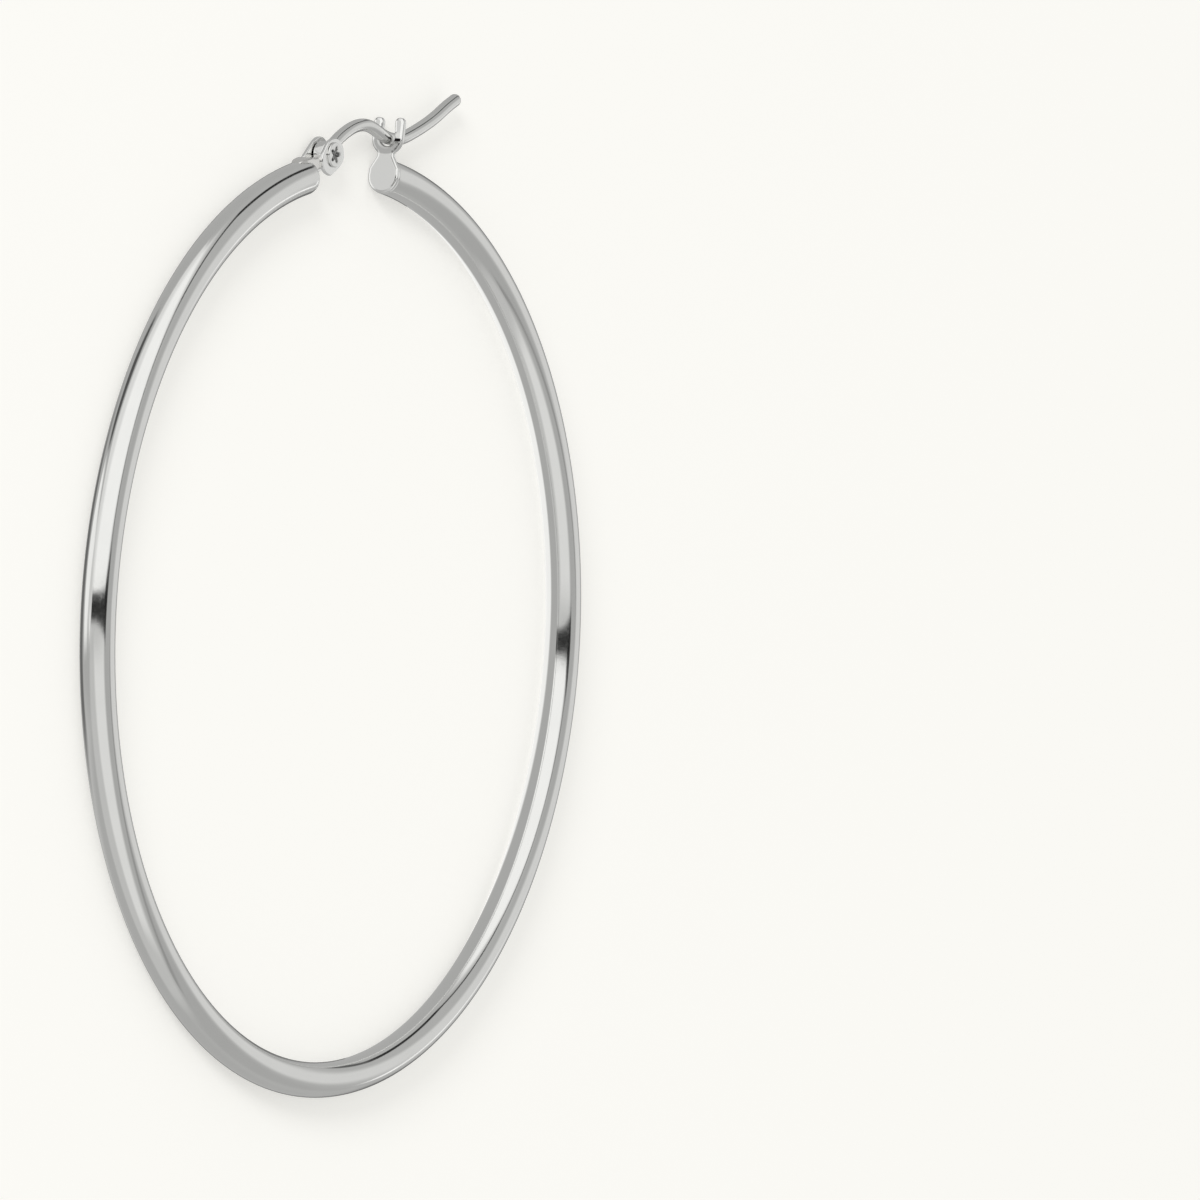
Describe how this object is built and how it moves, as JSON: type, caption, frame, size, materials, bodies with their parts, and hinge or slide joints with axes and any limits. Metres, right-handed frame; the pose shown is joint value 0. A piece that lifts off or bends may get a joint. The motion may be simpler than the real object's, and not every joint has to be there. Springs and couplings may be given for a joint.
{
  "type": "hoop earring",
  "caption": "Round hollow tube hoop earring with a hinged ear wire that swings up and snaps down into a notched catch.",
  "frame": {"origin": "centre of the bounding box, on the surface that the hoop lies on", "axes": "+Y from the hoop's centre towards the clasp, +Z out of the hoop's face, +X from the hinge side to the catch side"},
  "size_m": [0.06, 0.0636, 0.0022],
  "materials": {
    "polished_tube": "mirror polished silver, rhodium plated",
    "ear_wire": "polished drawn silver wire",
    "rivet": "peened silver, slightly dulled by the punch"
  },
  "bodies": {
    "hoop": {"hoop": "polished_tube", "hinge_rivet": "rivet"},
    "ear_wire": {"ear_wire": "ear_wire"}
  },
  "joints": [
    {"name": "ear_wire_hinge", "type": "hinge", "parent": "hoop", "child": "ear_wire", "pos_m": [-0.00254, 0.02804, 0.00112], "axis": [0, 0, 1], "range_deg": [0, 100]}
  ]
}
